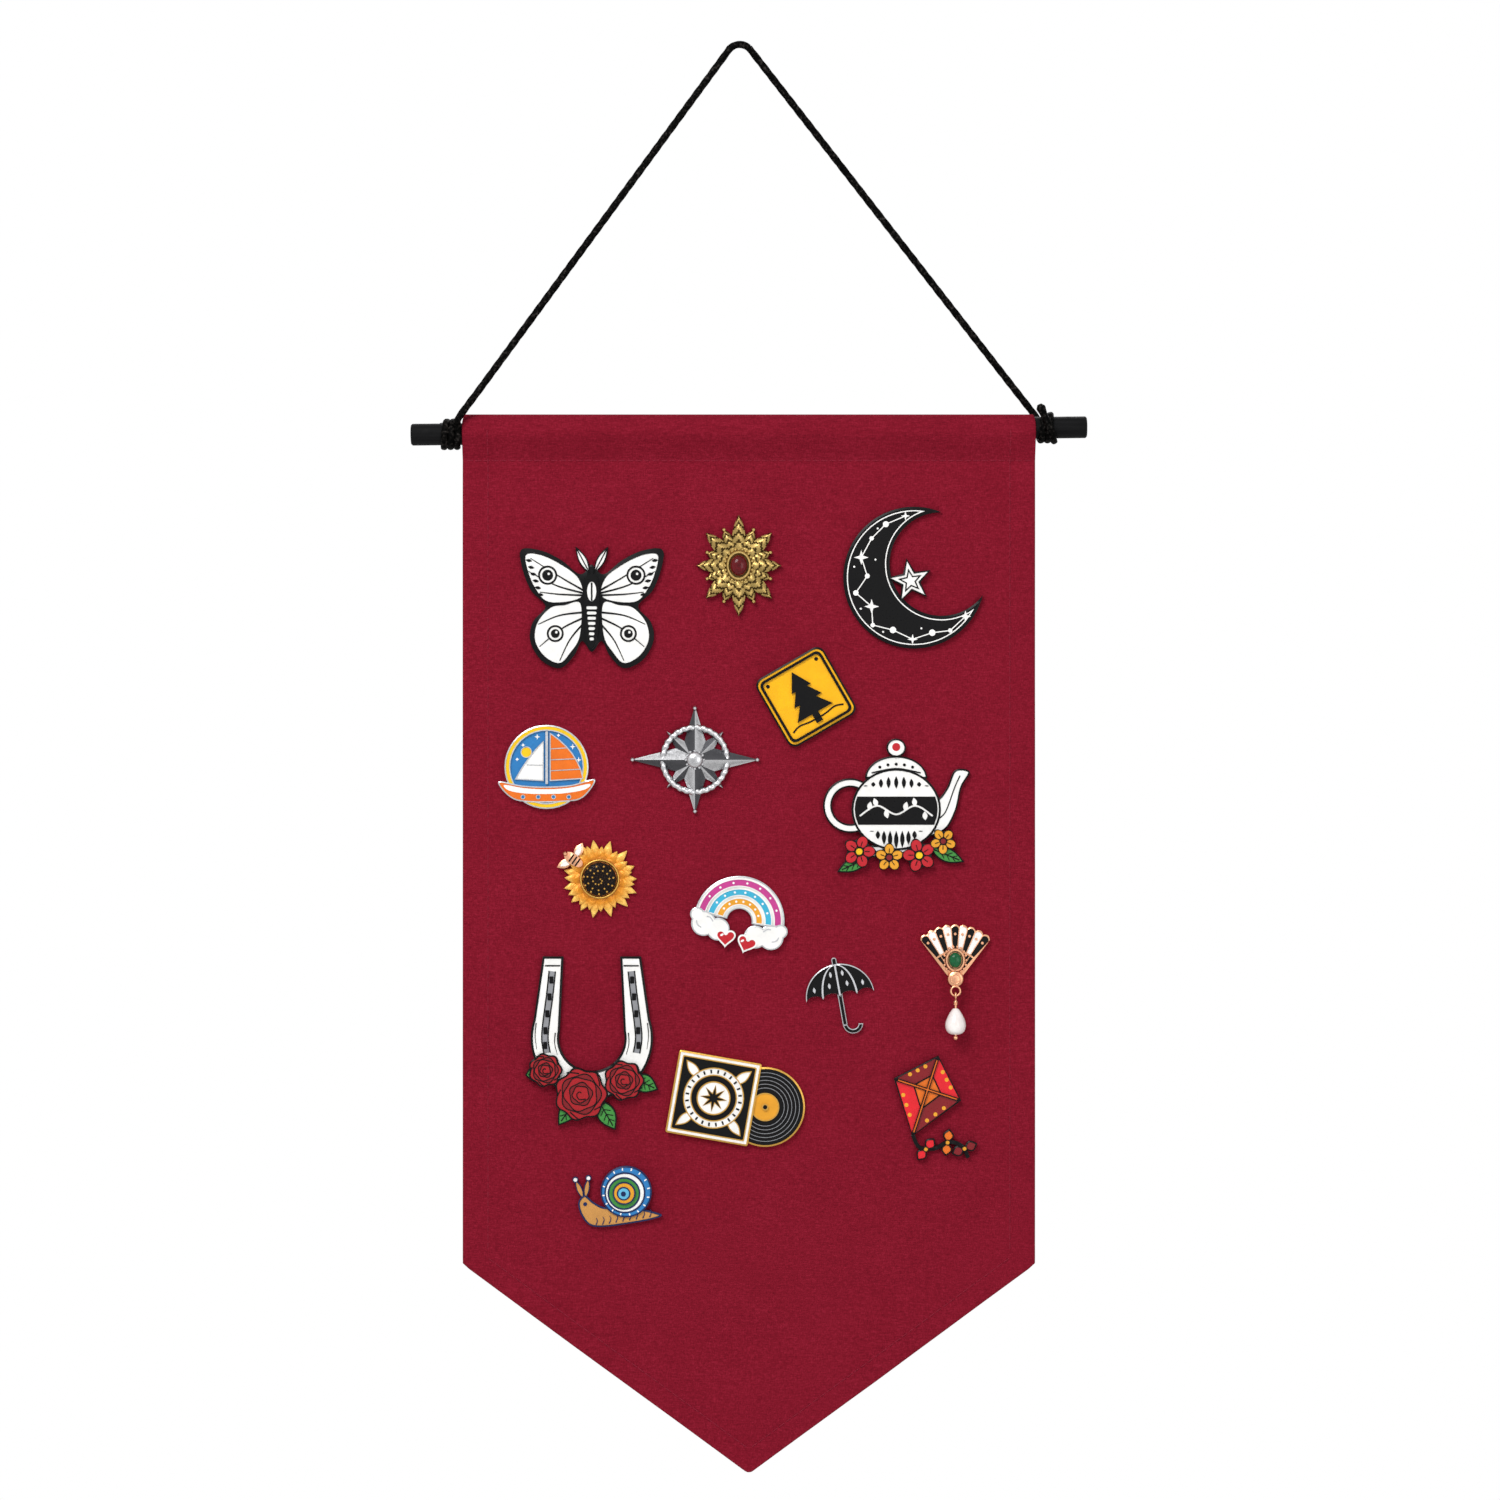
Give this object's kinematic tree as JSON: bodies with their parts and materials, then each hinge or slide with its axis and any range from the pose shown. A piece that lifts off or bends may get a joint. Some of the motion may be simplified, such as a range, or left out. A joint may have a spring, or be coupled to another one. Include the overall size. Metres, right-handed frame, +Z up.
{
  "type": "pin badge board",
  "caption": "Hanging cloth pennant on a rod and cord that displays enamel pin badges, each pushed through the cloth and held by clutches behind.",
  "frame": {"origin": "underside of the cord's top bend, where the nail sits", "axes": "+Z up, -Y toward the viewer, +Y toward the wall, X along the rod"},
  "size_m": [0.248, 0.0191, 0.5259],
  "materials": {
    "cloth": "woven canvas",
    "rod": "black paint, satin",
    "cord": "black braid",
    "clutch": "matt black",
    "badge_moth": "enamel on struck metal",
    "badge_leaf_burst": "antique gold",
    "badge_crescent": "enamel on struck metal",
    "badge_sign": "enamel on struck metal",
    "badge_boat": "enamel on struck metal",
    "badge_compass": "antique silver",
    "badge_teapot": "enamel on struck metal",
    "badge_sunflower": "enamel on struck metal",
    "badge_rainbow": "enamel on struck metal",
    "badge_umbrella": "enamel on struck metal",
    "badge_fan": "enamel on struck metal",
    "badge_horseshoe": "enamel on struck metal",
    "badge_record": "enamel on struck metal",
    "badge_kite": "enamel on struck metal",
    "badge_snail": "enamel on struck metal",
    "red_stone": "polished cabochon",
    "green_stone": "polished cabochon",
    "seed_disc": "beaded",
    "drop_wire": "gold plated",
    "pearl": "pearl lustre"
  },
  "bodies": {
    "hanger": {"rod": "rod", "hanging_cord": "cord", "winding_left": "cord", "winding_right": "cord"},
    "banner": {"cloth_pennant": "cloth"},
    "badge_moth": {"badge_moth": "badge_moth"},
    "clutch_moth_a": {"clutch_moth_a": "clutch"},
    "clutch_moth_b": {"clutch_moth_b": "clutch"},
    "badge_leaf_burst": {"badge_leaf_burst": "badge_leaf_burst", "red_stone": "red_stone"},
    "clutch_leaf_burst_a": {"clutch_leaf_burst_a": "clutch"},
    "clutch_leaf_burst_b": {"clutch_leaf_burst_b": "clutch"},
    "badge_crescent": {"badge_crescent": "badge_crescent"},
    "clutch_crescent_a": {"clutch_crescent_a": "clutch"},
    "clutch_crescent_b": {"clutch_crescent_b": "clutch"},
    "badge_sign": {"badge_sign": "badge_sign"},
    "clutch_sign_a": {"clutch_sign_a": "clutch"},
    "clutch_sign_b": {"clutch_sign_b": "clutch"},
    "badge_boat": {"badge_boat": "badge_boat"},
    "clutch_boat_a": {"clutch_boat_a": "clutch"},
    "clutch_boat_b": {"clutch_boat_b": "clutch"},
    "badge_compass": {"badge_compass": "badge_compass"},
    "clutch_compass_a": {"clutch_compass_a": "clutch"},
    "clutch_compass_b": {"clutch_compass_b": "clutch"},
    "badge_teapot": {"badge_teapot": "badge_teapot"},
    "clutch_teapot_a": {"clutch_teapot_a": "clutch"},
    "clutch_teapot_b": {"clutch_teapot_b": "clutch"},
    "badge_sunflower": {"badge_sunflower": "badge_sunflower", "seed_disc": "seed_disc"},
    "clutch_sunflower_a": {"clutch_sunflower_a": "clutch"},
    "clutch_sunflower_b": {"clutch_sunflower_b": "clutch"},
    "badge_rainbow": {"badge_rainbow": "badge_rainbow"},
    "clutch_rainbow_a": {"clutch_rainbow_a": "clutch"},
    "clutch_rainbow_b": {"clutch_rainbow_b": "clutch"},
    "badge_umbrella": {"badge_umbrella": "badge_umbrella"},
    "clutch_umbrella_a": {"clutch_umbrella_a": "clutch"},
    "clutch_umbrella_b": {"clutch_umbrella_b": "clutch"},
    "badge_fan": {"badge_fan": "badge_fan", "green_stone": "green_stone"},
    "clutch_fan_a": {"clutch_fan_a": "clutch"},
    "clutch_fan_b": {"clutch_fan_b": "clutch"},
    "badge_horseshoe": {"badge_horseshoe": "badge_horseshoe"},
    "clutch_horseshoe_a": {"clutch_horseshoe_a": "clutch"},
    "clutch_horseshoe_b": {"clutch_horseshoe_b": "clutch"},
    "badge_record": {"badge_record": "badge_record"},
    "clutch_record_a": {"clutch_record_a": "clutch"},
    "clutch_record_b": {"clutch_record_b": "clutch"},
    "badge_kite": {"badge_kite": "badge_kite"},
    "clutch_kite_a": {"clutch_kite_a": "clutch"},
    "clutch_kite_b": {"clutch_kite_b": "clutch"},
    "badge_snail": {"badge_snail": "badge_snail"},
    "clutch_snail_a": {"clutch_snail_a": "clutch"},
    "clutch_snail_b": {"clutch_snail_b": "clutch"},
    "pearl_drop": {"drop_wire": "drop_wire", "pearl": "pearl"}
  },
  "joints": [
    {"name": "banner_swing", "type": "hinge", "parent": "hanger", "child": "banner", "pos_m": [0.0035, 0, -0.14077], "axis": [0.9999, 0, 0.0112], "range_deg": [-90, 90]},
    {"name": "pull_moth", "type": "slide", "parent": "banner", "child": "badge_moth", "axis": [0, -1, 0], "range_m": [0, 0.012]},
    {"name": "unclutch_moth_a", "type": "slide", "parent": "banner", "child": "clutch_moth_a", "axis": [0, 1, 0], "range_m": [0, 0.01]},
    {"name": "unclutch_moth_b", "type": "slide", "parent": "banner", "child": "clutch_moth_b", "axis": [0, 1, 0], "range_m": [0, 0.01]},
    {"name": "pull_leaf_burst", "type": "slide", "parent": "banner", "child": "badge_leaf_burst", "axis": [0, -1, 0], "range_m": [0, 0.012]},
    {"name": "unclutch_leaf_burst_a", "type": "slide", "parent": "banner", "child": "clutch_leaf_burst_a", "axis": [0, 1, 0], "range_m": [0, 0.01]},
    {"name": "unclutch_leaf_burst_b", "type": "slide", "parent": "banner", "child": "clutch_leaf_burst_b", "axis": [0, 1, 0], "range_m": [0, 0.01]},
    {"name": "pull_crescent", "type": "slide", "parent": "banner", "child": "badge_crescent", "axis": [0, -1, 0], "range_m": [0, 0.012]},
    {"name": "unclutch_crescent_a", "type": "slide", "parent": "banner", "child": "clutch_crescent_a", "axis": [0, 1, 0], "range_m": [0, 0.01]},
    {"name": "unclutch_crescent_b", "type": "slide", "parent": "banner", "child": "clutch_crescent_b", "axis": [0, 1, 0], "range_m": [0, 0.01]},
    {"name": "pull_sign", "type": "slide", "parent": "banner", "child": "badge_sign", "axis": [0, -1, 0], "range_m": [0, 0.012]},
    {"name": "unclutch_sign_a", "type": "slide", "parent": "banner", "child": "clutch_sign_a", "axis": [0, 1, 0], "range_m": [0, 0.01]},
    {"name": "unclutch_sign_b", "type": "slide", "parent": "banner", "child": "clutch_sign_b", "axis": [0, 1, 0], "range_m": [0, 0.01]},
    {"name": "pull_boat", "type": "slide", "parent": "banner", "child": "badge_boat", "axis": [0, -1, 0], "range_m": [0, 0.012]},
    {"name": "unclutch_boat_a", "type": "slide", "parent": "banner", "child": "clutch_boat_a", "axis": [0, 1, 0], "range_m": [0, 0.01]},
    {"name": "unclutch_boat_b", "type": "slide", "parent": "banner", "child": "clutch_boat_b", "axis": [0, 1, 0], "range_m": [0, 0.01]},
    {"name": "pull_compass", "type": "slide", "parent": "banner", "child": "badge_compass", "axis": [0, -1, 0], "range_m": [0, 0.012]},
    {"name": "unclutch_compass_a", "type": "slide", "parent": "banner", "child": "clutch_compass_a", "axis": [0, 1, 0], "range_m": [0, 0.01]},
    {"name": "unclutch_compass_b", "type": "slide", "parent": "banner", "child": "clutch_compass_b", "axis": [0, 1, 0], "range_m": [0, 0.01]},
    {"name": "pull_teapot", "type": "slide", "parent": "banner", "child": "badge_teapot", "axis": [0, -1, 0], "range_m": [0, 0.012]},
    {"name": "unclutch_teapot_a", "type": "slide", "parent": "banner", "child": "clutch_teapot_a", "axis": [0, 1, 0], "range_m": [0, 0.01]},
    {"name": "unclutch_teapot_b", "type": "slide", "parent": "banner", "child": "clutch_teapot_b", "axis": [0, 1, 0], "range_m": [0, 0.01]},
    {"name": "pull_sunflower", "type": "slide", "parent": "banner", "child": "badge_sunflower", "axis": [0, -1, 0], "range_m": [0, 0.012]},
    {"name": "unclutch_sunflower_a", "type": "slide", "parent": "banner", "child": "clutch_sunflower_a", "axis": [0, 1, 0], "range_m": [0, 0.01]},
    {"name": "unclutch_sunflower_b", "type": "slide", "parent": "banner", "child": "clutch_sunflower_b", "axis": [0, 1, 0], "range_m": [0, 0.01]},
    {"name": "pull_rainbow", "type": "slide", "parent": "banner", "child": "badge_rainbow", "axis": [0, -1, 0], "range_m": [0, 0.012]},
    {"name": "unclutch_rainbow_a", "type": "slide", "parent": "banner", "child": "clutch_rainbow_a", "axis": [0, 1, 0], "range_m": [0, 0.01]},
    {"name": "unclutch_rainbow_b", "type": "slide", "parent": "banner", "child": "clutch_rainbow_b", "axis": [0, 1, 0], "range_m": [0, 0.01]},
    {"name": "pull_umbrella", "type": "slide", "parent": "banner", "child": "badge_umbrella", "axis": [0, -1, 0], "range_m": [0, 0.012]},
    {"name": "unclutch_umbrella_a", "type": "slide", "parent": "banner", "child": "clutch_umbrella_a", "axis": [0, 1, 0], "range_m": [0, 0.01]},
    {"name": "unclutch_umbrella_b", "type": "slide", "parent": "banner", "child": "clutch_umbrella_b", "axis": [0, 1, 0], "range_m": [0, 0.01]},
    {"name": "pull_fan", "type": "slide", "parent": "banner", "child": "badge_fan", "axis": [0, -1, 0], "range_m": [0, 0.012]},
    {"name": "unclutch_fan_a", "type": "slide", "parent": "banner", "child": "clutch_fan_a", "axis": [0, 1, 0], "range_m": [0, 0.01]},
    {"name": "unclutch_fan_b", "type": "slide", "parent": "banner", "child": "clutch_fan_b", "axis": [0, 1, 0], "range_m": [0, 0.01]},
    {"name": "pull_horseshoe", "type": "slide", "parent": "banner", "child": "badge_horseshoe", "axis": [0, -1, 0], "range_m": [0, 0.012]},
    {"name": "unclutch_horseshoe_a", "type": "slide", "parent": "banner", "child": "clutch_horseshoe_a", "axis": [0, 1, 0], "range_m": [0, 0.01]},
    {"name": "unclutch_horseshoe_b", "type": "slide", "parent": "banner", "child": "clutch_horseshoe_b", "axis": [0, 1, 0], "range_m": [0, 0.01]},
    {"name": "pull_record", "type": "slide", "parent": "banner", "child": "badge_record", "axis": [0, -1, 0], "range_m": [0, 0.012]},
    {"name": "unclutch_record_a", "type": "slide", "parent": "banner", "child": "clutch_record_a", "axis": [0, 1, 0], "range_m": [0, 0.01]},
    {"name": "unclutch_record_b", "type": "slide", "parent": "banner", "child": "clutch_record_b", "axis": [0, 1, 0], "range_m": [0, 0.01]},
    {"name": "pull_kite", "type": "slide", "parent": "banner", "child": "badge_kite", "axis": [0, -1, 0], "range_m": [0, 0.012]},
    {"name": "unclutch_kite_a", "type": "slide", "parent": "banner", "child": "clutch_kite_a", "axis": [0, 1, 0], "range_m": [0, 0.01]},
    {"name": "unclutch_kite_b", "type": "slide", "parent": "banner", "child": "clutch_kite_b", "axis": [0, 1, 0], "range_m": [0, 0.01]},
    {"name": "pull_snail", "type": "slide", "parent": "banner", "child": "badge_snail", "axis": [0, -1, 0], "range_m": [0, 0.012]},
    {"name": "unclutch_snail_a", "type": "slide", "parent": "banner", "child": "clutch_snail_a", "axis": [0, 1, 0], "range_m": [0, 0.01]},
    {"name": "unclutch_snail_b", "type": "slide", "parent": "banner", "child": "clutch_snail_b", "axis": [0, 1, 0], "range_m": [0, 0.01]},
    {"name": "drop_swing", "type": "hinge", "parent": "badge_fan", "child": "pearl_drop", "pos_m": [0.0791, -0.00555, -0.3461], "axis": [0, 1, 0], "range_deg": [-60, 60]}
  ]
}
